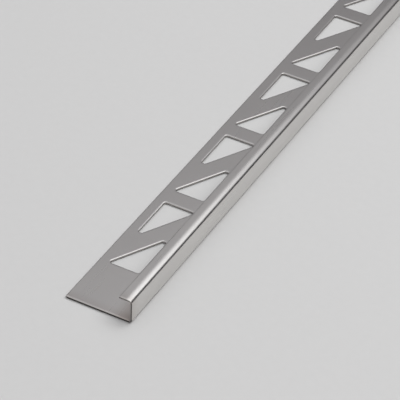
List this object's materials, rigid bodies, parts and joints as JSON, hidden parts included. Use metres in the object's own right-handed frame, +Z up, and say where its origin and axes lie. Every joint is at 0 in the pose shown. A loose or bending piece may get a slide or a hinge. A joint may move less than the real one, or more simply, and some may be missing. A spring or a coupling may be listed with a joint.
{
  "type": "tile edge trim",
  "caption": "Straight stainless-steel edge trim for tiles: a flange punched with paired triangular holes, an upright face and a lip folded back over the flange.",
  "frame": {"origin": "under the middle of the trim, on the surface that the flange rests on", "axes": "+X across the trim towards the upright face, +Y along it, +Z up from the flange towards the lip"},
  "size_m": [0.0264, 1, 0.01],
  "materials": {
    "stainless_sheet": "satin mill-finished stainless sheet, bare"
  },
  "bodies": {
    "root": {"trim": "stainless_sheet"}
  },
  "joints": []
}
